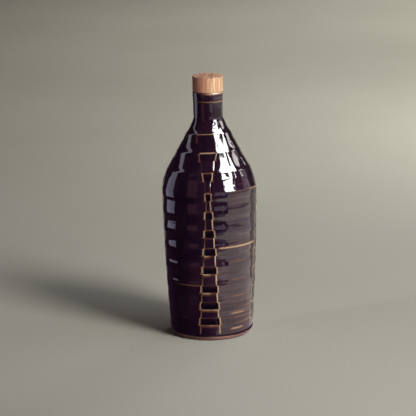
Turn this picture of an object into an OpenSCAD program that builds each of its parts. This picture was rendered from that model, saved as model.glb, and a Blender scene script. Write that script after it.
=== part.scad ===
// Sake bottle: a wheel-thrown stoneware bottle with throwing ridges, four strips of link-shaped
// pockets, a dark glaze outside, a clear liner glaze inside and a wood-headed cork stopper.
// Millimetres, +Z up, origin at the centre of the foot. The front strip of pockets faces -Y.

/* [Bottle] */
// Height of the lip above the foot
lip_z = 245; // [238:1:252]
// Widest radius, at the belly
belly_r = 47.3; // [44:0.1:50]
// Radius just above the foot
base_r = 41.6; // [39:0.1:43]
// Radius of the foot where it rests
foot_r = 38; // [34:0.5:38.5]
// Outer radius of the neck
neck_r = 14.85; // [13.5:0.05:16]
// Diameter of the mouth and neck, inside the glaze
bore_d = 18.6; // [17:0.1:19.6]
// Wall thickness, glaze included
wall = 6.5; // [5:0.5:9]
// Thickness of the bottom
floor_t = 8; // [6:0.5:12]
// Height of the hollow under the foot ring
foot_hollow_h = 2; // [1:0.5:3]
// Width of the foot ring
foot_ring_w = 8; // [5:0.5:12]

/* [Glaze] */
// Thickness of the outer glaze
glaze_t = 0.5; // [0.3:0.1:0.8]
// Thickness of the liner glaze
liner_t = 0.3; // [0.2:0.1:0.6]
// Height of the bare clay band above the foot
bare_h = 3.5; // [2:0.5:6]

/* [Ridges and pockets] */
// How far each throwing ridge stands out
ridge_step = 0.8; // [0.2:0.1:1]
// Rise over which a ridge steps back in above its edge
ridge_rise = 4; // [2:0.5:6]
// Depth of the pockets in the strips
pocket_depth = 1.2; // [0.6:0.1:1.6]
// Height of each pocket below its ridge edge
pocket_h = 7.4; // [5:0.2:9]
// Narrowest half width of a strip, at the belly
strip_half_w = 3.7; // [2.5:0.1:5]

/* [Stopper] */
// Diameter of the wooden head
head_d = 30; // [26:0.5:34]
// Height of the wooden head
head_h = 15; // [12:0.5:20]
// Depth of the socket in the head that the cork is glued into
socket_h = 6; // [4:0.5:8]
// Length of cork below the head
cork_l = 20; // [15:0.5:25]
// Radial clearance between the cork and the neck
cork_gap = 0.05; // [0.02:0.01:0.1]
// How much smaller the cork's radius is at its tip
cork_taper = 0.5; // [0:0.1:1]

/* [Hidden] */
$fn = 144;

bore_r = bore_d / 2;
base_z = 9;
belly_z = 149;
shoulder_z = 164;
shoulder_r = belly_r - 3.7;
cone_z = 204.5;
cone_r = 21.9;
neck_z = 219;
barrel_bow = 1.6;
lip_roll = 1.5;
lip_bead = 0.25;
lip_bead_h = 6;
corner_r = 8;
ridge_edge_h = 2;

// Throwing ridges on the barrel and on the shoulder cone, spaced by hand on the wheel
barrel_ridges = [24, 40, 57, 76, 94.5, 112.5, 131];
belly_ridge = 149.5;
cone_ridges = [168, 186, 203];
pocket_tops = concat(barrel_ridges, [belly_ridge], cone_ridges);

// Strips of pockets: their bearings from the front, counted towards +X
strip_angles = [-2, 78, 178, 265];
strip_spread_below = 0.054;
strip_spread_above = 0.12;

// Height levels in the smooth stretches of the outline
shoulder_steps = 4;
neck_steps = 5;
foot_steps = 4;

// Point on the quadratic curve from a to b that leaves and arrives towards c
function bend(a, c, b, t) = (1 - t) * (1 - t) * a + 2 * t * (1 - t) * c + t * t * b;
function curve(a, c, b, n) = [for (i = [1 : n]) bend(a, c, b, i / n)];

// Glazed outer radius of the barrel and of the cone at height z, without the ridges
function barrel_r(z) =
    belly_r - (belly_r - base_r) * pow((belly_z - z) / (belly_z - base_z), barrel_bow);
function cone_at(z) =
    shoulder_r + (cone_r - shoulder_r) * (z - shoulder_z) / (cone_z - shoulder_z);
function smooth_r(z) = z < belly_z ? barrel_r(z) : z < shoulder_z ? shoulder_r : cone_at(z);

// Outline of the glazed outside from foot to lip, as [radius, height], drawn t inside the glaze
function foot_curve(t) =
    concat([[foot_r - t, 0]],
           curve([foot_r - t, 0], [base_r - t, 1], [base_r - t, base_z], foot_steps));
// A ridge on the barrel is a band as high as its pockets: it steps out below, and back in above
function ridge_foot(z, t) =
    let (low = z - pocket_h, r = barrel_r(low) - t)
    [[r - ridge_step, low - ridge_edge_h / 2], [r, low + ridge_edge_h / 2]];
function ridge_top(z, t) =
    let (r = barrel_r(z) - t) [[r, z], [r - ridge_step, z + ridge_rise]];
function barrel_line(t) = [for (z = barrel_ridges) each concat(ridge_foot(z, t), ridge_top(z, t))];
function shoulder_line(t) =
    concat(ridge_foot(belly_ridge, t),
           [[belly_r - t, belly_z]],
           curve([belly_r - t, belly_z], [belly_r - t - 0.4, belly_z + 8],
                 [shoulder_r - t, shoulder_z], shoulder_steps));
function cone_ridge(z, t) =
    [[cone_at(z) - t, z], [cone_at(z + ridge_rise) - t - ridge_step / 2, z + ridge_rise]];
function cone_line(t) = [for (i = [0, 1]) each cone_ridge(cone_ridges[i], t)];
function neck_line(t) =
    concat([[cone_r - t, cone_z]],
           curve([cone_r - t, cone_z], [neck_r - t + 0.4, neck_z - 4], [neck_r - t, neck_z], neck_steps));
function lip_line(t) =
    let (bead_r = neck_r + lip_bead - t, top = lip_z - t)
    concat([[neck_r - t, top - lip_bead_h], [bead_r, top - lip_bead_h + 1.5], [bead_r, top - lip_roll]],
           curve([bead_r, top - lip_roll], [bead_r, top], [bead_r - lip_roll, top], 4),
           [[bore_r + t + lip_roll, top]],
           curve([bore_r + t + lip_roll, top], [bore_r + t, top], [bore_r + t, top - lip_roll], 4));
function outside(t) =
    concat(foot_curve(t), barrel_line(t), shoulder_line(t), cone_line(t), neck_line(t), lip_line(t));

// Outline of the hollow from the lip's roll down to the middle of its floor, t outside the air
function hollow(t) =
    let (low_r = barrel_r(floor_t + corner_r) - wall + t)
    concat([[bore_r + t, lip_z - lip_roll - glaze_t]],
           [[bore_r + t, neck_z - 6], [bore_r + t + 4, cone_z]],
           [[shoulder_r - wall + t, shoulder_z], [belly_r - wall + t, belly_z - 4]],
           [for (z = [130 : -30 : 40]) [barrel_r(z) - wall + t, z]],
           [[low_r, floor_t + corner_r]],
           curve([low_r, floor_t + corner_r], [low_r, floor_t - t], [low_r - corner_r, floor_t - t], 5),
           [[0, floor_t - t]]);

// Half width of a strip at height z: narrow at the belly, wider towards foot and neck
function strip_w(z) =
    strip_half_w + (z < belly_z ? (belly_z - z) * strip_spread_below
                                : (z - belly_z) * strip_spread_above);

// A pocket under a ridge edge at height z, cut t deeper and wider than the glazed one
module pocket(z, t) {
    low = z - pocket_h;
    mid = z - pocket_h / 2;
    half = 0.85 * strip_w(mid) + t;
    turn = 2 * asin(half / smooth_r(mid));
    rotate([0, 0, -turn / 2])
        rotate_extrude(angle = turn)
            polygon([[smooth_r(low) - pocket_depth - t, low - t],
                     [smooth_r(z) - pocket_depth - t, z - 0.6 + t],
                     [smooth_r(z) + 8, z - 0.6 + t],
                     [smooth_r(low) + 8, low - t]]);
}

module pockets(t) {
    for (angle = strip_angles)
        rotate([0, 0, angle - 90])
            for (z = pocket_tops)
                pocket(z, t);
}

// Everything inside the outline drawn t inside the glaze, pockets cut, mouth and hollow still full
module bulk(t) {
    difference() {
        rotate_extrude()
            polygon(concat([[0, 0]], outside(t), [[0, lip_z - lip_roll - t]]));
        pockets(t);
    }
}

// The air in the mouth and the hollow, grown by t
module air(t) {
    rotate_extrude()
        polygon(concat([[0, lip_z - lip_roll - glaze_t]], hollow(t)));
}

module stoneware_body() {
    color([0.42, 0.22, 0.15])
    difference() {
        bulk(glaze_t);
        air(liner_t);
        translate([0, 0, -1])
            cylinder(h = foot_hollow_h + 1, r = foot_r - foot_ring_w);
    }
}

module outer_glaze() {
    color([0.07, 0.05, 0.05])
    difference() {
        bulk(0);
        bulk(glaze_t);
        translate([0, 0, -1])
            cylinder(h = bare_h + 1, r = belly_r);
        translate([0, 0, lip_z - lip_roll - glaze_t - 5])
            cylinder(h = 10, r = bore_r);
    }
}

module liner_glaze() {
    color([0.30, 0.24, 0.20])
    difference() {
        air(liner_t);
        air(0);
    }
}

module stopper_head() {
    edge = 1.2;
    color([0.80, 0.62, 0.44])
    translate([0, 0, lip_z])
        difference() {
            rotate_extrude()
                polygon([[0, 0], [head_d / 2 - edge / 2, 0], [head_d / 2, edge / 2],
                         [head_d / 2, head_h - edge], [head_d / 2 - edge, head_h], [0, head_h]]);
            translate([0, 0, -1])
                cylinder(h = socket_h + 1, r = bore_r - cork_gap);
        }
}

module stopper_cork() {
    cork_r = bore_r - cork_gap;
    tip = 1;
    color([0.72, 0.52, 0.34])
    translate([0, 0, lip_z])
        rotate_extrude()
            polygon([[0, -cork_l], [cork_r - cork_taper - tip, -cork_l],
                     [cork_r - cork_taper, -cork_l + tip], [cork_r, -cork_l / 2],
                     [cork_r, socket_h], [0, socket_h]]);
}

stoneware_body();
outer_glaze();
liner_glaze();
stopper_head();
stopper_cork();
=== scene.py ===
"""Looks of the sake bottle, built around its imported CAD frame. Pieces are drawn in millimetres, and
add_object turns them into metres. Materials, lights, the studio and the camera are in metres.
+Z is up and the front strip of pockets faces -Y."""
import math

import bpy
import numpy as np
from mathutils import Matrix, Vector


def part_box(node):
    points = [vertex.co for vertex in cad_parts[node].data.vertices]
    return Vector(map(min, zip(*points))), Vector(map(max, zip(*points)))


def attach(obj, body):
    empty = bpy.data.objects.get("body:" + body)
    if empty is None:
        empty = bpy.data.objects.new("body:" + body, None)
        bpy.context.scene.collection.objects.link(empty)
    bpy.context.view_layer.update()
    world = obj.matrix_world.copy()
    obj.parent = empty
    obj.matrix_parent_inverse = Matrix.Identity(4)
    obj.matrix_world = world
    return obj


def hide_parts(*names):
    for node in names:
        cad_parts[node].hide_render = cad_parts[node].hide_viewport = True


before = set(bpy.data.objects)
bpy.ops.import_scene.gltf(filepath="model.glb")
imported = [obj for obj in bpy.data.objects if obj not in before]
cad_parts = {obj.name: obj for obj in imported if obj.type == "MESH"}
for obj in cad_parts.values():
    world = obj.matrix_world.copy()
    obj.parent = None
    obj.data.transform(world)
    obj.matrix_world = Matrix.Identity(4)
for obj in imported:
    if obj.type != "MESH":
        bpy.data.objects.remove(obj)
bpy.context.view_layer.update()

MM = 0.001


def size_of(node):
    """Lowest and highest corner of a CAD node, in millimetres."""
    low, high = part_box(node)
    return low / MM, high / MM


# ---------------------------------------------------------------- sizes read from the frame
GLAZE_LOW, GLAZE_HIGH = size_of("outer_glaze")
HEAD_LOW, HEAD_HIGH = size_of("stopper_head")
CORK_LOW, CORK_HIGH = size_of("stopper_cork")
LIP_Z = GLAZE_HIGH.z
BARE_H = GLAZE_LOW.z
BELLY_R = (GLAZE_HIGH.x - GLAZE_LOW.x) / 2
HEAD_R = (HEAD_HIGH.x - HEAD_LOW.x) / 2
CORK_R = (CORK_HIGH.x - CORK_LOW.x) / 2

# ---------------------------------------------------------------- the outline, as in the CAD
BORE_R = 9.3
BASE_R = 41.6
FOOT_R = 38.0
BASE_Z = 9.0
BELLY_Z = 149.0
SHOULDER_Z = 164.0
SHOULDER_R = BELLY_R - 3.7
CONE_Z = 204.5
CONE_R = 21.9
NECK_Z = 219.0
NECK_R = 14.85
BARREL_BOW = 1.6
WALL = 6.5
FLOOR_T = 8.0
LIP_ROLL = 1.5
LIP_BEAD = 0.25
LIP_BEAD_H = 6.0
FOOT_HOLLOW_H = 2.0
FOOT_RING_W = 8.0
GLAZE_T = 0.5
LINER_T = 0.3

# Throwing ridges, foot to neck: the upper edge of each, and how far those of the barrel stand out
RIDGES = [24, 40, 57, 76, 94.5, 112.5, 131, 149.5, 168, 186, 203]
RIDGE_STEPS = [0.45, 0.60, 0.80, 0.90, 0.95, 0.95, 0.75, 0.80]

# On the cone each ridge steps back over CONE_RISE, and the wall between two ridges is hollowed
CONE_STEP = 0.30
CONE_SCALLOP = 0.55
CONE_RISE = 4.0
CONE_TOP = 216.0

# Height of a pocket, depth of a block's face, where the lowest block ends, and the rings' slant
POCKET_H = 7.4
BLOCK_DEPTH = 0.25
BLOCK_FOOT = 5.0
RING_TILT = 0.02

# Bearings of the four strips of pockets, in degrees from the front towards +X
STRIPS = [-2, 78, 178, 265]

# How strongly each pocket is painted tan, foot to shoulder, as glaze break and painted highlight: on its
# upper edge, on its flanks, on the ledge below it, on the right half of that ledge, and on the flanks of
# the block below
BREAKS_AND_HIGHLIGHTS = [(0.25, 0.95, 0.75, 0.70, 0.85), (0.22, 1.00, 1.00, 1.00, 0.85), (0.22, 1.00, 1.00, 0.45, 0.90),
          (0.25, 1.00, 1.00, 0.45, 0.85), (0.35, 1.00, 0.90, 0.30, 0.85), (0.40, 0.95, 0.50, 0.40, 0.80),
          (0.45, 0.95, 0.20, 0.15, 0.80), (0.60, 0.75, 0.10, 0.10, 0.65), (0.40, 0.85, 0.05, 0.05, 0.25),
          (0.75, 0.60, 0.00, 0.00, 0.30), (0.60, 0.45, 0.00, 0.00, 0.05)]

# Stretches of ridge painted tan: height, first and last bearing, strength, half thickness. Most are the
# glaze's tan break; those just above the lower ridges on the right, at 11, 26.5, 44, 61 and 79 mm, are
# painted highlights
RING_BREAKS_AND_HIGHLIGHTS = [(94.2, 10, 74, 1.00, 0.90), (57, -52, -11, 0.50, 0.75), (149.3, 56, 88, 0.75, 0.8),
               (148.6, 20, 60, 0.22, 0.7), (23.5, -62, -32, 0.25, 0.7), (26.5, 27, 50, 0.70, 1.1),
               (11.0, 26, 48, 0.80, 1.1), (44.0, 28, 52, 0.36, 1.1), (61.0, 26, 54, 0.30, 1.2),
               (79.0, 22, 54, 0.26, 1.2), (131, 100, 150, 0.7, 0.8), (76, -160, -110, 0.8, 0.8),
               (40, 110, 160, 0.55, 0.8), (112.5, -150, -118, 0.4, 0.8), (168, 196, 240, 0.45, 0.8)]

# The finger line round the neck, and how deep the neck is pressed in below and above it
NECK_LINE_Z = 235.7
NECK_PRESS = (0.20, 0.14)

# A distance at which no edge shows, and the spacing of the glaze's rows and columns: millimetres
# between rows, then degrees either side of a strip, between its columns and beside it
FAR = 9.0
ROW_STEP = 0.78
STRIP_SPAN = 17
STRIP_STEP = 0.78
PANEL_STEP = 1.6

# Where the glaze's hidden back and the clay behind it have their rings, and how deep both lie
BACK_LEVELS = [9, 14, 30, 50, 70, 90, 110, 130, BELLY_Z, 157, SHOULDER_Z, 175, 190, CONE_Z, 209, 214,
               219, 226]
SKIN_T = 1.9
CLAY_INSET = 2.0


def bend(a, c, b, t):
    """Point on the quadratic curve from a to b that leaves and arrives towards c."""
    return [(1 - t) ** 2 * p + 2 * t * (1 - t) * q + t * t * r for p, q, r in zip(a, c, b)]


def curve(a, c, b, n=24):
    return [bend(a, c, b, i / n) for i in range(1, n + 1)]


def barrel_r(z):
    return BELLY_R - (BELLY_R - BASE_R) * ((BELLY_Z - z) / (BELLY_Z - BASE_Z)) ** BARREL_BOW


def outside_line():
    """The smooth glazed outline from foot to neck, as [radius, height]."""
    line = [[FOOT_R, 0]] + curve([FOOT_R, 0], [BASE_R, 1], [BASE_R, BASE_Z])
    line += [[barrel_r(z), z] for z in np.arange(BASE_Z + 2, BELLY_Z, 2)]
    line += [[BELLY_R, BELLY_Z]]
    line += curve([BELLY_R, BELLY_Z], [BELLY_R - 0.4, BELLY_Z + 8], [SHOULDER_R, SHOULDER_Z])
    line += [[CONE_R, CONE_Z]]
    line += curve([CONE_R, CONE_Z], [NECK_R + 0.4, NECK_Z - 4], [NECK_R, NECK_Z])
    return line + [[NECK_R, LIP_Z]]


OUTLINE = np.array(outside_line())


def contour(z):
    """Smooth outer radius at height z."""
    return np.interp(z, OUTLINE[:, 1], OUTLINE[:, 0])


def smooth(low, high, x):
    """0 below low, 1 above high, an S curve between."""
    t = np.clip((x - low) / (high - low), 0, 1)
    return t * t * (3 - 2 * t)


# ---------------------------------------------------------------- relief of the glazed surface
def block_half(z):
    """Half width of the strip where it stands out as a block."""
    below = 1.7 + 7.9 * (np.clip(141 - z, 0, None) / 130) ** 0.85
    above = 1.9 + 0.2 * np.clip(z - 152, 0, None)
    return np.where(z < 146, below, above)


def block_level(z):
    """Height that sets a block's width: its sides are nearly upright, and step out at each pocket."""
    tops = np.array([0.0] + RIDGES + [RIDGES[-1] + 17])
    k = np.clip(np.searchsorted(tops, z), 1, len(tops) - 1)
    middle = (tops[k] - POCKET_H + tops[k - 1]) / 2
    return middle + 0.35 * (z - middle)


def front_lift(z):
    """How much higher the throwing rings and the pockets lie at the front than at the sides."""
    return np.clip(0.3 + 0.02 * (z - RIDGES[0]), 0, 2.3) * (1 - smooth(206, 216, z))


def pocket_half(z, top):
    """Half width of the pocket whose upper edge is at height top: flared to its foot, round above."""
    low = top - POCKET_H
    on_cone = smooth(150, 166, top)
    wide_low = block_half(low) + 1.2 - 0.8 * on_cone
    wide_top = block_half(top) + 1.25 - 1.1 * on_cone
    share = np.clip((z - low) / POCKET_H, 0, 1)
    width = wide_low + (wide_top - wide_low) * share ** 0.8
    corner = 1.6
    over = np.clip((z - (top - corner)) / corner, 0, 1)
    return width - corner * (1 - np.sqrt(np.clip(1 - over * over, 0, 1)))


def step_at(z, low, high, wide_low, wide_high):
    """A step between low and high, with softer shoulders that reach the wide limits."""
    return 0.6 * smooth(low, high, z) + 0.4 * smooth(wide_low, wide_high, z)


def ring_depth(z):
    """Depth of the ridged wall below the contour. On the barrel each ridge is a band that steps out
    at its pockets' feet and back in above its edge; on the cone each is an edge with a step above."""
    proud = np.zeros(z.shape)
    for top in RIDGES[:len(RIDGE_STEPS)]:
        low = top - POCKET_H
        proud = proud + step_at(z, low - 1.2, low + 1.2, low - 2.6, low + 3.7)
        proud = proud - step_at(z, top - 0.5, top + 5.5, top - 3.5, top + 8.5)
    band = np.interp(z, RIDGES[:len(RIDGE_STEPS)], RIDGE_STEPS) * (1 - proud) * smooth(11, 17, z)
    levels = np.array(RIDGES[len(RIDGE_STEPS) - 1:] + [CONE_TOP])
    k = np.clip(np.searchsorted(levels, z, side="right") - 1, 0, len(levels) - 2)
    above = np.clip(z - levels[k], 0, None)
    span = levels[k + 1] - levels[k]
    back = np.clip((above - CONE_RISE) / (span - CONE_RISE), 0, 1)
    share = np.clip(above / span, 0, 1)
    cone = CONE_STEP * smooth(0, 1, above / CONE_RISE) * (1 - back)
    cone = (cone + CONE_SCALLOP * 4 * share * (1 - share)) * (1 - smooth(206, 214, z))
    share = smooth(149, 158, z)
    return band * (1 - share) + cone * share


def hand_wobble(bearing, z):
    """The slow unevenness that hands leave on a thrown wall, 0 or more."""
    wave = np.sin(3 * bearing + z / 17) + 0.8 * np.sin(5 * bearing - z / 9 + 2)
    wave = wave + 0.7 * np.sin(8 * bearing + z / 6.5 + 4) + 0.5 * np.sin(2 * bearing - z / 4.6 + 1)
    strength = 0.045 + 0.085 * smooth(146, 160, z)
    wave = np.clip(2.2 + wave, 0, None)
    return strength * wave * smooth(10, 30, z) * (1 - smooth(214, 226, z))


def neck_press(z):
    """Depth of the finger marks on the neck, which leave a thin raised line between them."""
    below = smooth(214, 224, z) * (1 - smooth(NECK_LINE_Z - 1.2, NECK_LINE_Z - 0.3, z))
    above = smooth(NECK_LINE_Z + 0.3, NECK_LINE_Z + 1.2, z) * (1 - smooth(237.5, 239, z))
    return NECK_PRESS[0] * below + NECK_PRESS[1] * above


def strip_place(bearing, z, radius):
    """Signed distance along the wall to the nearest strip's centre line, and that strip's number."""
    best = np.full(np.broadcast(bearing, z).shape, 1e9)
    number = np.zeros(best.shape, int)
    for i, centre in enumerate(STRIPS):
        sway = 0.5 * np.sin(z / 23 + 2.1 * i + 3.3) / 45
        away = (bearing - math.radians(centre) - sway + math.pi) % (2 * math.pi) - math.pi
        across = away * radius
        nearer = np.abs(across) < np.abs(best)
        best = np.where(nearer, across, best)
        number = np.where(nearer, i, number)
    return best, number


def glaze_fields(bearing, height):
    """Outer radius and the marks of the glaze at each bearing (radians) and height."""
    radius = contour(height)
    z = height - RING_TILT * radius * np.sin(bearing) - front_lift(height) * np.cos(bearing)
    across, number = strip_place(bearing, z, radius)
    side = np.abs(across)
    lift = -ring_depth(z)
    block = block_half(block_level(z))
    in_ladder = smooth(6, 9, z) * (1 - smooth(RIDGES[-1], RIDGES[-1] + 1, z))
    right = smooth(-0.3, 0.5, across / np.maximum(block, 0.1))

    # Drawn edges: distance to the nearest one, and how much it breaks to tan
    near = np.full(z.shape, FAR)
    gain = np.zeros(z.shape)
    depth = np.zeros(z.shape)
    stand = np.zeros(z.shape)
    ledge_tan_and_highlight = np.zeros(z.shape)
    painted_shade = np.zeros(z.shape)

    def draw(distance, strength):
        nonlocal near, gain
        nearer = distance < near
        near = np.where(nearer, distance, near)
        gain = np.where(nearer, strength, gain)

    for k, (top, breaks) in enumerate(zip(RIDGES, BREAKS_AND_HIGHLIGHTS)):
        top_gain, flank_gain, ledge_gain, ledge_right, block_gain = breaks
        low = top - POCKET_H
        next_top = RIDGES[k - 1] if k > 0 else BLOCK_FOOT
        here = (z <= top + 0.3) & (z >= low - 0.3)
        half = pocket_half(np.clip(z, low, top), top)
        slope = (pocket_half(np.clip(z + 0.1, low, top), top) - half) / 0.1
        flank = np.abs(side - half) / np.sqrt(1 + slope * slope)
        inside = np.clip(1 - side / np.maximum(half, 0.1), 0, 1)
        down = np.clip((top - z) / POCKET_H, 0, 1)
        # The pocket's floor slopes in from its upper edge to the ledge of the block below
        dish = smooth(0.0, 0.28, inside) * np.where(here, 1, 0)
        sill = smooth(low - 0.25, low + 0.25, z) * (1 - smooth(top - 0.25, top + 0.25, z))
        soft = 1 - 0.45 * smooth(150, 175, top)
        depth = np.maximum(depth, dish * sill * soft * (0.45 + 0.75 * down))
        # Painted shade in the pocket, darker towards its floor
        painted_shade = np.maximum(painted_shade, dish * sill * soft * smooth(0.0, 0.6, down))
        # Painted highlight: a flank is painted a quarter lighter on its right side, over its tan break
        draw(np.where(here, flank, FAR), flank_gain * (0.75 + 0.25 * right))
        arch = np.hypot(np.clip(side - half, 0, None), z - top)
        draw(np.where(side < half + 1.5, arch, FAR), top_gain)
        tick = np.hypot(np.clip(side - half - 1.4, 0, None), z - low)
        draw(np.where(side > half - 0.3, tick, FAR), 0.55 * flank_gain)
        # The block below the pocket: it stands out, and its top is a ledge painted tan, partly glaze
        # break and partly painted highlight
        block_here = (z < low) & (z > next_top)
        # Painted highlight: the block's sides are painted lighter on their right, over their tan break
        draw(np.where(block_here, np.abs(side - block), FAR), block_gain * (0.6 + 0.4 * right))
        on_block = (1 - smooth(-0.35, 0.35, side - block)) * np.where(block_here, 1, 0)
        stand = np.maximum(stand, on_block * smooth(next_top, next_top + 1, z))
        # Painted highlight: the ledge fades down from its edge and is painted lighter on its right half,
        # where the light falls
        fall = np.clip((low - z) / 4.4, 0, 1)
        lit = ledge_gain + (ledge_right - ledge_gain) * right
        ledge_tan_and_highlight = np.maximum(ledge_tan_and_highlight, on_block * (1 - fall) ** 1.5 * lit)

    # The right-hand strip's edges close up and fade on the cone
    cone_fade = np.where(number == 1, 1 - smooth(150, 162, z), 1.0)
    gain = gain * in_ladder * cone_fade
    lift = lift + (np.maximum(lift, -BLOCK_DEPTH) - lift) * stand * in_ladder
    lift = lift + (np.minimum(lift, -depth) - lift) * in_ladder * cone_fade
    lift = lift + 0.20 * np.exp(-(near / 0.7) ** 2) * gain
    # Fine throwing lines in the cut panels
    panel = smooth(0.5, 3.0, side - block)
    wave = 0.6 * np.sin(2 * math.pi * z / 3.1 + 0.8 * np.sin(bearing * 2 + z / 31))
    wave = wave + 0.4 * np.sin(2 * math.pi * z / 5.3 + 1.1 * np.sin(bearing * 3 - z / 19))
    fade = smooth(9, 16, z) * (1 - smooth(150, 175, z)) * (0.6 + 0.4 * (1 - smooth(70, 110, z)))
    lift = lift + 0.055 * (wave - 1) * panel * fade - hand_wobble(bearing, z) - neck_press(height)
    # The finger line is painted tan, lighter towards its right side as painted highlight
    finger = 0.78 * np.exp(-((height - NECK_LINE_Z) / 0.65) ** 2) * (0.75 + 0.25 * np.sin(bearing))
    return {
        "radius": radius + np.minimum(lift, 0),
        "line_near": near,
        "line_gain": gain,
        "ledge_tan_and_highlight": ledge_tan_and_highlight * in_ladder * cone_fade,
        # Painted shade: darker in the pockets, and darkened half way over the shoulder and cone
        "painted_shade": np.maximum(painted_shade * in_ladder * cone_fade, 0.5 * smooth(150, 205, height)),
        # Tan ridge stretches and the finger line: glaze break, with painted highlights on the right
        "ring": np.maximum(ring_break(np.degrees(bearing), z) * panel, finger),
        # Crests of the throwing lines painted tan: partly glaze break, mostly painted highlight on the
        # right (+X) side
        "crest_tan_and_sheen": np.clip(wave, 0, 1) * panel * fade * (0.25 + 0.75 * smooth(0, 0.6, np.sin(bearing))),
    }


def ring_break(degrees, z):
    """How strongly the wall is painted tan along the ridges, as glaze break and as painted highlight:
    only the listed stretches are.
    """
    shown = np.zeros(z.shape)
    for level, start, end, strength, thick in RING_BREAKS_AND_HIGHLIGHTS:
        turn = (degrees - start + 180) % 360 - 180
        width = (end - start) % 360
        along = smooth(-4, 4, turn) * (1 - smooth(width - 4, width + 4, turn))
        shown = np.maximum(shown, strength * along * np.exp(-((z - level) / thick) ** 2))
    return shown


# ---------------------------------------------------------------- mesh making
def add_object(name, vertices, faces):
    """A smooth-shaded mesh object from millimetre points."""
    mesh = bpy.data.meshes.new(name)
    mesh.from_pydata([tuple(p) for p in np.asarray(vertices, float) * MM], [], faces)
    mesh.validate()
    mesh.update()
    for polygon in mesh.polygons:
        polygon.use_smooth = True
    thing = bpy.data.objects.new(name, mesh)
    bpy.context.scene.collection.objects.link(thing)
    return thing


def grid_faces(rows, columns, first=0):
    """Quads between consecutive rings of columns points each, turning outwards."""
    faces = []
    for i in range(rows - 1):
        a = first + i * columns
        for j in range(columns):
            k = (j + 1) % columns
            faces.append((a + j, a + k, a + columns + k, a + columns + j))
    return faces


def ring_points(bearings, radius, height):
    """Points of one ring: bearing 0 faces -Y and grows towards +X."""
    return np.stack([radius * np.sin(bearings), -radius * np.cos(bearings), height], axis=-1)


def revolve(name, line, columns=192, wobble=None):
    """A closed body of revolution from [radius, height] points that start and end on the axis."""
    bearings = np.linspace(0, 2 * math.pi, columns, endpoint=False)
    inner = line[1:-1]
    rings = []
    for r, z in inner:
        radius = np.full(columns, float(r))
        height = np.full(columns, float(z))
        if wobble is not None:
            radius, height = wobble(bearings, radius, height)
        rings.append(ring_points(bearings, radius, height))
    points = np.concatenate(rings)
    faces = grid_faces(len(inner), columns)
    start = len(points)
    points = np.concatenate([points, [[0, 0, line[0][1]], [0, 0, line[-1][1]]]])
    last = (len(inner) - 1) * columns
    for j in range(columns):
        k = (j + 1) % columns
        faces.append((start, k, j))
        faces.append((last + j, last + k, start + 1))
    return add_object(name, points, faces)


def set_mark(thing, name, values):
    mark = thing.data.attributes.new(name, "FLOAT", "POINT")
    mark.data.foreach_set("value", np.asarray(values, np.float32).ravel())


# ---------------------------------------------------------------- pieces
def strip_bearings():
    """Bearings of the glaze's columns: close together on the strips, wider apart on the panels."""
    steps = []
    for centre in STRIPS:
        steps += list(np.arange(-STRIP_SPAN, STRIP_SPAN + 0.01, STRIP_STEP) + centre)
        beside = np.arange(PANEL_STEP, 13.5, PANEL_STEP)
        steps += list(centre - STRIP_SPAN - beside) + list(centre + STRIP_SPAN + beside)
    steps = sorted(a % 360 for a in steps)
    filled = []
    for a, b in zip(steps, steps[1:] + [steps[0] + 360]):
        gap = b - a
        parts = max(1, round(gap / 3))
        filled += [a + gap * i / parts for i in range(parts)]
    return np.radians(sorted(filled))


def glaze_levels():
    """Heights of the glaze's rows: evenly spaced on barrel and cone, with a pair of rows at each edge
    of the pockets, wider apart at the foot and on the neck, and close together round its finger line."""
    levels = list(np.arange(BARE_H + 5.5, 206, ROW_STEP))
    edges = RIDGES + [a - POCKET_H for a in RIDGES]
    edges = [e + front_lift(e) for e in edges]
    levels = [z for z in levels if min(abs(z - e) for e in edges) > 0.5]
    levels += [e - 0.28 for e in edges] + [e + 0.28 for e in edges]
    levels += list(np.arange(BARE_H + 1.2, BARE_H + 5.3, 1.0))
    levels += list(np.arange(206.4, NECK_LINE_Z - 2, 1.25))
    levels += list(np.arange(NECK_LINE_Z - 1.6, LIP_Z - LIP_BEAD_H - 0.2, 0.4))
    return sorted(levels)


def lip_ring():
    """The glaze over the lip, from the bead outside to the bore, as [radius, height]."""
    bead_r = NECK_R + LIP_BEAD
    low = LIP_Z - LIP_BEAD_H
    line = [[NECK_R, low], [NECK_R + 0.1, low + 0.6], [bead_r, low + 1.6], [bead_r, low + 3.2]]
    line += [[bead_r, LIP_Z - LIP_ROLL]]
    line += curve([bead_r, LIP_Z - LIP_ROLL], [bead_r, LIP_Z], [bead_r - LIP_ROLL, LIP_Z], 6)
    line += [[BORE_R + LIP_ROLL, LIP_Z]]
    line += curve([BORE_R + LIP_ROLL, LIP_Z], [BORE_R, LIP_Z], [BORE_R, LIP_Z - LIP_ROLL], 5)
    return line


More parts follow.
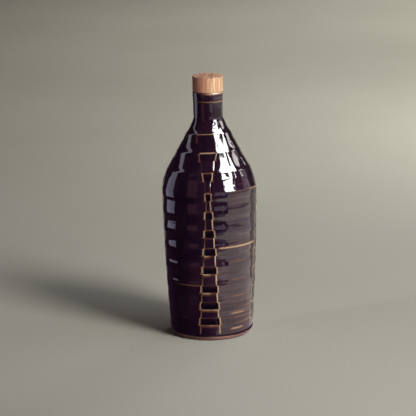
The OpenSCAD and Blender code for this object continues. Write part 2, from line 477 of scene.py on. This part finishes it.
def make_glaze():
    """The outer glaze: a closed skin whose outside has the ridges, the pockets and their edges."""
    bearings = strip_bearings()
    columns = len(bearings)
    levels = glaze_levels()
    rows = []
    marks = {name: [] for name in ("line_near", "line_gain", "ledge_tan_and_highlight", "painted_shade", "ring", "crest_tan_and_sheen")}

    def blank():
        for name in marks:
            marks[name].append(np.full(columns, FAR if name == "line_near" else 0.0))

    # The rolled lower edge of the glaze, then the wall, then the lip
    for inset, z in ((0.42, BARE_H + 0.02), (0.16, BARE_H + 0.22), (0.03, BARE_H + 0.62)):
        droop = 0.35 * np.sin(3 * bearings + 1) + 0.2 * np.sin(7 * bearings)
        height = z + 0.55 + 0.8 * droop
        rows.append(ring_points(bearings, contour(height) - inset, height))
        blank()
    for z in levels:
        fields = glaze_fields(bearings, np.full(columns, z))
        rows.append(ring_points(bearings, fields["radius"], np.full(columns, z)))
        for name in marks:
            marks[name].append(fields[name])
    # The lip's outer edge breaks to cream all round, and its right side is painted more cream as a
    # painted highlight
    for r, z in lip_ring():
        rows.append(ring_points(bearings, np.full(columns, r), np.full(columns, z)))
        blank()
        if r > NECK_R - 0.5 and z > LIP_Z - LIP_ROLL - 0.1:
            marks["ring"][-1] = 0.15 + 0.80 * smooth(-0.40, 0.60, np.sin(bearings + 0.25))
    # Back of the skin, against the clay
    back = [[BORE_R + GLAZE_T - 0.02, LIP_Z - LIP_ROLL], [BORE_R + 1.8, LIP_Z - 1.0],
            [NECK_R - 1.6, LIP_Z - 1.0], [NECK_R - 1.0, LIP_Z - 3]]
    back += [[contour(z) - SKIN_T, z] for z in reversed(BACK_LEVELS)]
    back += [[contour(6) - 0.8, 6]]
    for r, z in back:
        rows.append(ring_points(bearings, np.full(columns, r), np.full(columns, z)))
        blank()
    points = np.concatenate(rows)
    count = len(rows)
    faces = grid_faces(count, columns)
    last = (count - 1) * columns
    for j in range(columns):
        k = (j + 1) % columns
        faces.append((last + j, last + k, k, j))
    thing = add_object("glaze", points, faces)
    for name, values in marks.items():
        set_mark(thing, name, np.concatenate(values))
    return thing


def hollow_line(grow):
    """The hollow from the neck down to its floor, as [radius, height], grown by grow."""
    round_r = 8
    low_r = barrel_r(FLOOR_T + round_r) - WALL + grow
    line = [[BORE_R + grow, LIP_Z - 2], [BORE_R + grow, NECK_Z - 6], [BORE_R + grow + 4, CONE_Z]]
    line += [[SHOULDER_R - WALL + grow, SHOULDER_Z], [BELLY_R - WALL + grow, BELLY_Z - 4]]
    line += [[barrel_r(z) - WALL + grow, z] for z in range(130, 39, -30)]
    start, corner = [low_r, FLOOR_T + round_r], [low_r, FLOOR_T - grow]
    return line + [start] + curve(start, corner, [low_r - round_r, FLOOR_T - grow], 8)


def make_clay():
    """The clay bottle under the glaze: the bare foot shows, with its turned ring and hollow."""
    hollow_r = FOOT_R - FOOT_RING_W
    line = [[0, FOOT_HOLLOW_H], [4, FOOT_HOLLOW_H]]
    line += [[r, FOOT_HOLLOW_H] for r in np.arange(6, hollow_r - 1.5, 1.1)]
    line += curve([hollow_r - 1.4, FOOT_HOLLOW_H], [hollow_r, FOOT_HOLLOW_H], [hollow_r + 0.3, 0.4], 5)
    line += [[hollow_r + 0.8, 0], [FOOT_R - 2, 0], [FOOT_R - 1.1, 0]]
    line += [[FOOT_R - GLAZE_T, 0.15]] + [[contour(z) - GLAZE_T, z] for z in np.arange(0.5, 5.2, 0.45)]
    line += [[contour(z) - CLAY_INSET, z] for z in BACK_LEVELS]
    line += [[NECK_R - 1.2, LIP_Z - 3], [NECK_R - 1.8, LIP_Z - 1.1], [BORE_R + 2, LIP_Z - 1.1]]
    line += hollow_line(LINER_T)
    line += [[0, FLOOR_T - LINER_T]]

    def turned(bearings, radius, height):
        # Fine trimming marks on the foot and under it
        under = (radius < FOOT_R - FOOT_RING_W - 1) & (height < FOOT_HOLLOW_H + 0.5)
        height = height + np.where(under, 0.10 * np.sin(radius * 2.6 + bearings), 0)
        outside = (height > 0.4) & (height < 5) & (radius > FOOT_R - 2)
        radius = radius - np.where(outside, 0.05 * (1 + np.sin(height * 5 + bearings)), 0)
        return radius, height

    return revolve("clay", line, 240, turned)


def make_head():
    """The turned wooden head, with its socket, softened edges and faint tool marks."""
    edge = 0.9
    z0, z1 = HEAD_LOW.z, HEAD_HIGH.z
    socket_z = CORK_HIGH.z
    line = [[0, socket_z], [3, socket_z], [CORK_R - 0.3, socket_z], [CORK_R, socket_z - 0.3]]
    line += [[CORK_R, z0 + 0.4], [CORK_R + 0.3, z0 + 0.02]]
    line += [[r, z0] for r in np.arange(CORK_R + 1, HEAD_R - 0.8, 1)]
    line += curve([HEAD_R - 0.5, z0], [HEAD_R, z0], [HEAD_R, z0 + 0.5], 5)
    line += [[HEAD_R, z] for z in np.arange(z0 + 1, z1 - edge - 0.2, 0.45)]
    line += curve([HEAD_R, z1 - edge], [HEAD_R, z1], [HEAD_R - edge, z1], 6)
    line += [[r, z1] for r in np.arange(HEAD_R - edge - 0.5, 0.4, -0.6)]
    line += [[0, z1]]

    def turned(bearings, radius, height):
        wall = (radius > HEAD_R - 0.3) & (height > z0 + 0.8) & (height < z1 - 1.2)
        grain = 0.03 * np.sin(bearings * 41 + 2 * np.sin(bearings * 5)) + 0.02 * np.sin(bearings * 67)
        radius = radius - np.where(wall, 0.06 + grain, 0)
        top = (height > z1 - 0.05) & (radius < HEAD_R - edge)
        height = height - np.where(top, 0.03 + 0.03 * np.sin(radius * 3.2), 0)
        return radius, height

    return revolve("wood_head", line, 256, turned)


def make_cork():
    """The cork shank, slightly tapered, with a few pits in its side."""
    z0, z1 = CORK_LOW.z, CORK_HIGH.z
    mouth = HEAD_LOW.z
    line = [[0, z0], [2, z0]] + [[r, z0] for r in np.arange(3, CORK_R - 1.6, 0.5)]
    line += [[CORK_R - 1.1, z0 + 0.2], [CORK_R - 0.7, z0 + 0.8]]
    taper, taper_h, step = 0.55, 10, 0.4
    tapered = np.arange(z0 + 1.2, z0 + taper_h - step / 2, step)
    line += [[CORK_R - taper * (1 - (z - z0) / taper_h), z] for z in tapered]
    line += [[CORK_R, z] for z in np.arange(z0 + taper_h, mouth - step / 2, step)]
    line += [[CORK_R, mouth], [CORK_R, z1 - 0.3], [CORK_R - 0.3, z1], [3, z1], [0, z1]]
    random = np.random.default_rng(7)
    pits = [(random.uniform(0, 2 * math.pi), random.uniform(z0 + 1.5, mouth - 2),
             random.uniform(0.3, 0.8), random.uniform(0.15, 0.5)) for _ in range(70)]

    def pitted(bearings, radius, height):
        below = height[0] < mouth - 0.5 and radius[0] > CORK_R - 1
        if below:
            for bearing, z, wide, deep in pits:
                away = (bearings - bearing + math.pi) % (2 * math.pi) - math.pi
                gap = np.hypot(away * CORK_R / (1.8 * wide), (height - z) / wide)
                radius = radius - deep * np.exp(-gap * gap)
        return radius, height

    return revolve("cork_shank", line, 220, pitted)


# ---------------------------------------------------------------- materials
class Shader:
    """A node material with short calls for the nodes used here."""

    def __init__(self, name):
        self.material = bpy.data.materials.new(name)
        self.material.use_nodes = True
        self.tree = self.material.node_tree
        self.tree.nodes.clear()
        output = self.tree.nodes.new("ShaderNodeOutputMaterial")
        self.surface = self.tree.nodes.new("ShaderNodeBsdfPrincipled")
        self.tree.links.new(self.surface.outputs[0], output.inputs[0])

    def plug(self, value, socket):
        if isinstance(value, bpy.types.NodeSocket):
            self.tree.links.new(value, socket)
        else:
            socket.default_value = value

    def math(self, operation, a, b=0.0, clamp=False):
        node = self.tree.nodes.new("ShaderNodeMath")
        node.operation = operation
        node.use_clamp = clamp
        self.plug(a, node.inputs[0])
        self.plug(b, node.inputs[1])
        return node.outputs[0]

    def step(self, value, low, high, to_low=0.0, to_high=1.0):
        node = self.tree.nodes.new("ShaderNodeMapRange")
        node.interpolation_type = "SMOOTHSTEP"
        for socket, v in zip(node.inputs, (value, low, high, to_low, to_high)):
            self.plug(v, socket)
        return node.outputs[0]

    def mark(self, name):
        node = self.tree.nodes.new("ShaderNodeAttribute")
        node.attribute_name = name
        return node.outputs["Fac"]

    def place(self, scale=(1, 1, 1)):
        coordinates = self.tree.nodes.new("ShaderNodeTexCoord")
        mapping = self.tree.nodes.new("ShaderNodeMapping")
        mapping.inputs["Scale"].default_value = scale
        self.tree.links.new(coordinates.outputs["Object"], mapping.inputs["Vector"])
        return mapping.outputs["Vector"]

    def side_and_height(self):
        """X and Z of the piece's own coordinates, in metres."""
        split = self.tree.nodes.new("ShaderNodeSeparateXYZ")
        self.tree.links.new(self.place(), split.inputs[0])
        return split.outputs["X"], split.outputs["Z"]

    def noise(self, scale, stretch=(1, 1, 1), detail=4.0, rough=0.55, distortion=0.0):
        node = self.tree.nodes.new("ShaderNodeTexNoise")
        node.inputs["Scale"].default_value = scale
        node.inputs["Detail"].default_value = detail
        node.inputs["Roughness"].default_value = rough
        node.inputs["Distortion"].default_value = distortion
        self.tree.links.new(self.place(stretch), node.inputs["Vector"])
        return node.outputs["Fac"]

    def mix(self, share, a, b):
        node = self.tree.nodes.new("ShaderNodeMix")
        node.data_type = "RGBA"
        self.plug(share, node.inputs[0])
        self.plug(a, node.inputs[6])
        self.plug(b, node.inputs[7])
        return node.outputs[2]

    def bump(self, height, distance, strength=1.0, below=None):
        node = self.tree.nodes.new("ShaderNodeBump")
        node.inputs["Distance"].default_value = distance
        node.inputs["Strength"].default_value = strength
        self.plug(height, node.inputs["Height"])
        if below is not None:
            self.plug(below, node.inputs["Normal"])
        return node.outputs[0]

    def set(self, **sockets):
        for name, value in sockets.items():
            self.plug(value, self.surface.inputs[name.replace("_", " ").title().replace("Ior", "IOR")])


def colour(red, green, blue):
    return (red, green, blue, 1.0)


def glaze_material():
    """Near-black purple-brown glaze, with painted shade in its pockets and over its shoulder and cone,
    that breaks to tan on its edges, with painted highlights in that tan.
    """
    s = Shader("dark_glaze")
    cloud = s.noise(38, (1, 1, 0.6), 5, 0.6)
    fine = s.noise(900, (1, 1, 1), 3, 0.6)
    base = s.mix(s.step(cloud, 0.40, 0.68), colour(0.011, 0.0035, 0.0115), colour(0.029, 0.010, 0.022))
    # Painted shade: near black in the pockets, and part way over the shoulder and cone
    base = s.mix(s.mark("painted_shade"), base, colour(0.003, 0.0015, 0.0035))

    ragged = s.math("MULTIPLY", s.math("SUBTRACT", fine, 0.5), 0.35)
    edge = s.step(s.math("ADD", s.mark("line_near"), ragged), 0.95, 0.36)
    edge = s.math("MULTIPLY", edge, s.mark("line_gain"))
    # Painted highlights: the ledges and the throwing-line crests are lighter where light falls, over the
    # glaze's tan break
    ledge_tan_and_highlight = s.math("MULTIPLY", s.mark("ledge_tan_and_highlight"), s.step(cloud, 0.36, 0.58, 0.55, 1.0))
    crest_tan_and_sheen = s.math("MULTIPLY", s.mark("crest_tan_and_sheen"), s.step(cloud, 0.40, 0.64, 0.08, 0.50))
    tan_break_and_highlight = s.math("MAXIMUM", s.math("MAXIMUM", edge, s.mark("ring")), s.math("MAXIMUM", ledge_tan_and_highlight, crest_tan_and_sheen))
    tan_break_and_highlight = s.math("MULTIPLY", tan_break_and_highlight, s.step(fine, 0.2, 0.8, 0.8, 1.1), clamp=True)

    brown = s.mix(s.step(tan_break_and_highlight, 0.02, 0.45), base, colour(0.11, 0.046, 0.026))
    tan = s.mix(s.step(tan_break_and_highlight, 0.32, 0.95), brown, colour(0.42, 0.285, 0.175))
    s.set(base_color=tan, roughness=s.step(s.noise(60), 0.3, 0.7, 0.045, 0.085), ior=1.55)
    swell = s.bump(s.noise(75, (1, 1, 0.8), 2, 0.5), 0.0006, 0.35)
    ripple = s.bump(s.noise(150, (1, 1, 0.7), 2, 0.4), 0.00012, 0.35, swell)
    s.set(normal=s.bump(s.noise(520, (1, 1, 1), 2, 0.5), 0.00004, 0.3, ripple))
    return s.material


def clay_material():
    """Bare iron-red stoneware, matte, with fine grit."""
    s = Shader("stoneware")
    grit = s.noise(1400, (1, 1, 1), 3, 0.6)
    cloud = s.noise(70, (1, 1, 2), 4, 0.6)
    base = s.mix(s.step(cloud, 0.35, 0.65), colour(0.18, 0.075, 0.065), colour(0.28, 0.135, 0.115))
    base = s.mix(s.step(grit, 0.62, 0.72), base, colour(0.32, 0.20, 0.15))
    s.set(base_color=base, roughness=0.72, normal=s.bump(grit, 0.00015, 0.6))
    return s.material


def liner_material():
    """The brown liner glaze inside the neck and the hollow."""
    s = Shader("liner_glaze")
    cloud = s.noise(60, (1, 1, 1), 4, 0.6)
    base = s.mix(s.step(cloud, 0.35, 0.65), colour(0.045, 0.020, 0.012), colour(0.10, 0.050, 0.025))
    s.set(base_color=base, roughness=0.16, ior=1.55, normal=s.bump(s.noise(200), 0.0001, 0.3))
    return s.material


def wood_material():
    """Light turned wood with upright grain and a speckled end, painted darker and redder on its left as
    painted shade.
    """
    s = Shader("turned_wood")
    grain = s.noise(420, (1, 1, 0.06), 4, 0.6, 0.6)
    fibre = s.noise(950, (1, 1, 0.03), 4, 0.65)
    speck = s.noise(310, (1, 1, 1), 5, 0.7)
    across, up = s.side_and_height()
    # Painted shade: the head's left side (-X) is painted darker and redder
    shaded_left = s.step(s.math("ADD", across, s.math("MULTIPLY", grain, 0.005)), 0.0028, 0.0004)
    pale = s.mix(s.step(grain, 0.35, 0.66), colour(0.78, 0.53, 0.335), colour(0.51, 0.26, 0.143))
    red = s.mix(s.step(grain, 0.35, 0.66), colour(0.61, 0.28, 0.20), colour(0.46, 0.18, 0.13))
    side = s.mix(s.math("MULTIPLY", shaded_left, 0.85), pale, red)
    side = s.mix(s.step(fibre, 0.52, 0.66, 0.0, 0.60), side, colour(0.26, 0.11, 0.06))
    end = s.mix(s.step(speck, 0.45, 0.57), colour(0.57, 0.33, 0.215), colour(0.22, 0.088, 0.06))
    top = HEAD_HIGH.z * MM
    base = s.mix(s.step(up, top - 0.0012, top - 0.0004), side, end)
    s.set(base_color=base, roughness=0.7, specular_ior_level=0.15)
    s.set(normal=s.bump(fibre, 0.00012, 0.5))
    return s.material


def cork_material():
    """Natural cork: tan, speckled, with dark pores."""
    s = Shader("cork")
    cells = s.noise(700, (1, 1, 1), 5, 0.7)
    spots = s.noise(260, (1, 1, 0.5), 3, 0.6, 0.5)
    base = s.mix(s.step(cells, 0.35, 0.65), colour(0.42, 0.25, 0.13), colour(0.60, 0.40, 0.23))
    base = s.mix(s.step(spots, 0.60, 0.70, 0.0, 0.8), base, colour(0.16, 0.08, 0.04))
    s.set(base_color=base, roughness=0.85, normal=s.bump(cells, 0.0003, 0.6))
    return s.material


def paper_material():
    """The pale, slightly mottled and flecked backdrop paper."""
    s = Shader("paper")
    cloud = s.noise(2.2, (1, 1, 1), 3, 0.5)
    base = s.mix(s.step(cloud, 0.3, 0.7), colour(0.275, 0.267, 0.228), colour(0.295, 0.287, 0.248))
    fleck = s.noise(260, (1, 1, 1), 2, 0.6)
    base = s.mix(s.step(fleck, 0.35, 0.65, 0.0, 0.10), base, colour(0.16, 0.155, 0.13))
    s.set(base_color=base, roughness=0.9, normal=s.bump(s.noise(90, (1, 1, 1), 5, 0.6), 0.0006, 0.15))
    return s.material


def wear(thing, material):
    thing.data.materials.clear()
    thing.data.materials.append(material)
    return thing


# ---------------------------------------------------------------- put the bottle together
def dress_bottle():
    glaze = wear(make_glaze(), glaze_material())
    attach(glaze, "bottle")
    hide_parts("outer_glaze")

    clay = wear(make_clay(), clay_material())
    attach(clay, "bottle")
    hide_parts("stoneware_body")

    wear(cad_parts["liner_glaze"], liner_material())


def dress_stopper():
    head = wear(make_head(), wood_material())
    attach(head, "stopper")
    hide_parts("stopper_head")

    cork = wear(make_cork(), cork_material())
    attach(cork, "stopper")
    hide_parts("stopper_cork")


# ---------------------------------------------------------------- stage, lights and camera (metres)
def make_backdrop():
    """One sheet of pale paper: flat under the bottle, then curving up far behind it."""
    half_w, front, bend_at, bend_r, top = 5.0, -4.0, 3.4, 1.2, 3.0
    line = [(front, 0.0), (bend_at, 0.0)]
    for i in range(1, 13):
        a = math.radians(90 * i / 12)
        line.append((bend_at + bend_r * math.sin(a), bend_r * (1 - math.cos(a))))
    line.append((bend_at + bend_r, top))
    points = [(x, y, z) for y, z in line for x in (-half_w, half_w)]
    faces = [(2 * i, 2 * i + 1, 2 * i + 3, 2 * i + 2) for i in range(len(line) - 1)]
    sheet = add_object("paper", np.array(points) / MM, faces)
    wear(sheet, paper_material())


def polar(bearing, elevation, distance, centre=(0, 0, 0.12)):
    """Point at a bearing from the front towards +X, an elevation and a distance from centre."""
    b, e = math.radians(bearing), math.radians(elevation)
    way = Vector((math.sin(b) * math.cos(e), -math.cos(b) * math.cos(e), math.sin(e)))
    return Vector(centre) + way * distance


def area_light(name, place, aim, size, power, tint, spread):
    """A soft square light on matt surfaces. Glossy ones mirror the studio's cards instead of it."""
    data = bpy.data.lights.new(name, "AREA")
    data.size = size
    data.energy = power
    data.color = tint
    data.spread = math.radians(spread)
    lamp = bpy.data.objects.new(name, data)
    bpy.context.scene.collection.objects.link(lamp)
    turn = (Vector(aim) - Vector(place)).to_track_quat("-Z", "Y")
    lamp.matrix_world = Matrix.Translation(place) @ turn.to_matrix().to_4x4()
    lamp.visible_camera = False
    lamp.visible_glossy = False


def glow_material(name, tint, radiance):
    """A card that glows evenly, as a lit wall or floor does in a reflection."""
    material = bpy.data.materials.new(name)
    material.use_nodes = True
    tree = material.node_tree
    tree.nodes.clear()
    glow = tree.nodes.new("ShaderNodeEmission")
    glow.inputs["Color"].default_value = colour(*tint)
    glow.inputs["Strength"].default_value = radiance
    output = tree.nodes.new("ShaderNodeOutputMaterial")
    tree.links.new(glow.outputs[0], output.inputs[0])
    return material


def studio_card(name, line, tint, radiance):
    """Part of the studio that only reflections show. Each point of line is a radius and a height in
    metres, then the first and the last bearing that the card spans there, in degrees."""
    count = 2 + round(max(last - first for _, _, first, last in line) / 4)
    rings = []
    for r, z, first, last in line:
        bearings = np.radians(np.linspace(first, last, count))
        rings.append(ring_points(bearings, np.full(count, r), np.full(count, z)))
    faces = []
    for i in range(len(line) - 1):
        for j in range(count - 1):
            a = i * count + j
            faces.append((a, a + 1, a + count + 1, a + count))
    card = add_object(name, np.concatenate(rings) / MM, faces)
    wear(card, glow_material(name, tint, radiance))
    card.visible_camera = False
    card.visible_diffuse = False
    card.visible_transmission = False
    card.visible_shadow = False


def sky(elevation, first, last, distance=1.6):
    """A point of a card's line, given as the elevation at which the bottle's shoulder sees it."""
    shoulder = 0.16
    e = math.radians(elevation)
    return (distance * math.cos(e), shoulder + distance * math.sin(e), first, last)


def make_studio():
    """The dim room and its pale surfaces, as the glaze mirrors them."""
    foot, left, front, wall, far, ceiling = 0.0425, 0.52, 0.55, 0.56, 3.3, 4
    floor, low_floor = 0.0006, 0.0003
    sheen = (1.0, 0.80, 0.86)
    warm = (1.0, 0.84, 0.76)
    dark, unlit = (0.85, 0.35, 0.9), 0.05
    studio_card("dark_room", [(foot, low_floor, -156, 117), (far, low_floor, -156, 117),
                              (far, ceiling, -156, 117), (0.3, ceiling, -156, 117)], dark, unlit)
    studio_card("left_wall", [(left, 0, -125, -92), (left, 0.15, -124, -93), (left, 0.30, -117, -98)],
                (0.78, 0.70, 1.0), 1.25)
    studio_card("left_high", [(left, 0.30, -113, -98), (left, 0.42, -108, -95), (left, 0.55, -104, -91),
                              (left, 0.85, -100, -87)], (0.90, 0.80, 1.0), 1.7)
    studio_card("dim_left", [(0.62, 0, -54, -30), (0.62, 0.50, -54, -30)], (1.0, 0.45, 0.55), 0.30)
    studio_card("pale_front", [(front, 0.11, 15, 36), (front, 0.125, 11, 39), (front, 0.245, 11, 39),
                               (front, 0.26, 15, 36)], (0.92, 0.74, 1.0), 1.0)
    studio_card("pale_slit", [(front, 0.04, 29, 33), (front, 0.11, 29, 33)], (1.0, 0.85, 0.9), 1.3)
    studio_card("front_floor", [(0.13, floor * 0.8, 10, 42), (0.36, floor * 0.8, 12, 42),
                                (0.46, floor * 0.8, 24, 42)], sheen, 0.55)
    studio_card("right_foot", [(0.052, floor, 7, 117), (0.13, floor, 13, 117)], warm, 1.10)
    studio_card("right_floor", [(0.13, floor, 13, 117), (0.25, floor, 19, 117), (0.34, floor, 30, 117),
                                (0.42, floor, 37, 117)], warm, 1.6)
    studio_card("right_far", [(0.42, floor, 37, 117), (wall, floor, 40, 117)], sheen, 1.2)
    studio_card("right_wall", [(wall, 0, 43, 115), (wall, 0.09, 43, 115)], warm, 1.5)
    studio_card("right_seam", [(wall, 0.09, 43, 115), (wall, 0.125, 43, 115)], warm, 0.5)
    studio_card("right_shelf", [(wall, 0.125, 43, 115), (wall, 0.24, 43, 115)], sheen, 1.25)
    studio_card("right_high", [(wall, 0.24, 90, 120), (wall, 0.33, 90, 120)], sheen, 0.9)
    studio_card("window", [sky(10, 40, 66), sky(20, 38, 72), sky(30, 38, 90), sky(44, 40, 104),
                           sky(60, 44, 104)], (1.0, 0.99, 1.0), 26)
    studio_card("window_rail", [sky(27, 36, 58, 1.5), sky(31, 36, 63, 1.5)], dark, unlit)
    studio_card("window_bar", [sky(15, 64, 68, 1.5), sky(24, 66, 76, 1.5), sky(36, 72, 80, 1.5)],
                dark, unlit)
    studio_card("grey_window", [sky(14, 97, 116), sky(28, 98, 118)], (1.0, 0.90, 0.88), 8)


def make_lights():
    """A key from the front right, three soft pools of light on the paper, and a dim sky."""
    paper = (1.0, 0.99, 0.93)
    area_light("key", polar(45, 34, 1.9), (0.12, -0.10, 0.10), 0.6, 5.9, (1.0, 1.0, 0.96), 60)
    area_light("right_paper", Vector((1.15, 0.95, 0.9)), (0.6, 0.9, 0), 0.6, 5.0, paper, 70)
    area_light("back_paper", Vector((1.5, 2.6, 1.5)), (1.2, 2.2, 0), 0.8, 36, paper, 180)
    area_light("far_paper", Vector((0.55, 1.9, 2.0)), (0.55, 1.901, 0), 0.6, 7.2, paper, 80)
    world = bpy.data.worlds.new("studio")
    bpy.context.scene.world = world
    world.use_nodes = True
    sky_node = world.node_tree.nodes["Background"]
    sky_node.inputs["Color"].default_value = (0.95, 0.84, 0.80, 1)
    sky_node.inputs["Strength"].default_value = 0.09


def make_camera():
    """A long lens that looks down on the bottle and is rolled by a degree."""
    data = bpy.data.cameras.new("camera")
    data.lens = 180
    data.sensor_width = 36
    data.clip_end = 50
    eye = bpy.data.objects.new("camera", data)
    bpy.context.scene.collection.objects.link(eye)
    target = Vector((-0.0018, 0, 0.1261))
    elevation, distance, tilt = 13.6, 2.073, -1.03
    place = polar(0, elevation, distance, target)
    look = (target - place).to_track_quat("-Z", "Y").to_matrix().to_4x4()
    roll = Matrix.Rotation(math.radians(tilt), 4, "Z")
    eye.matrix_world = Matrix.Translation(place) @ look @ roll
    bpy.context.scene.camera = eye


make_camera()
make_lights()
make_studio()
make_backdrop()
dress_bottle()
dress_stopper()
bpy.context.scene.view_settings.view_transform = "Standard"
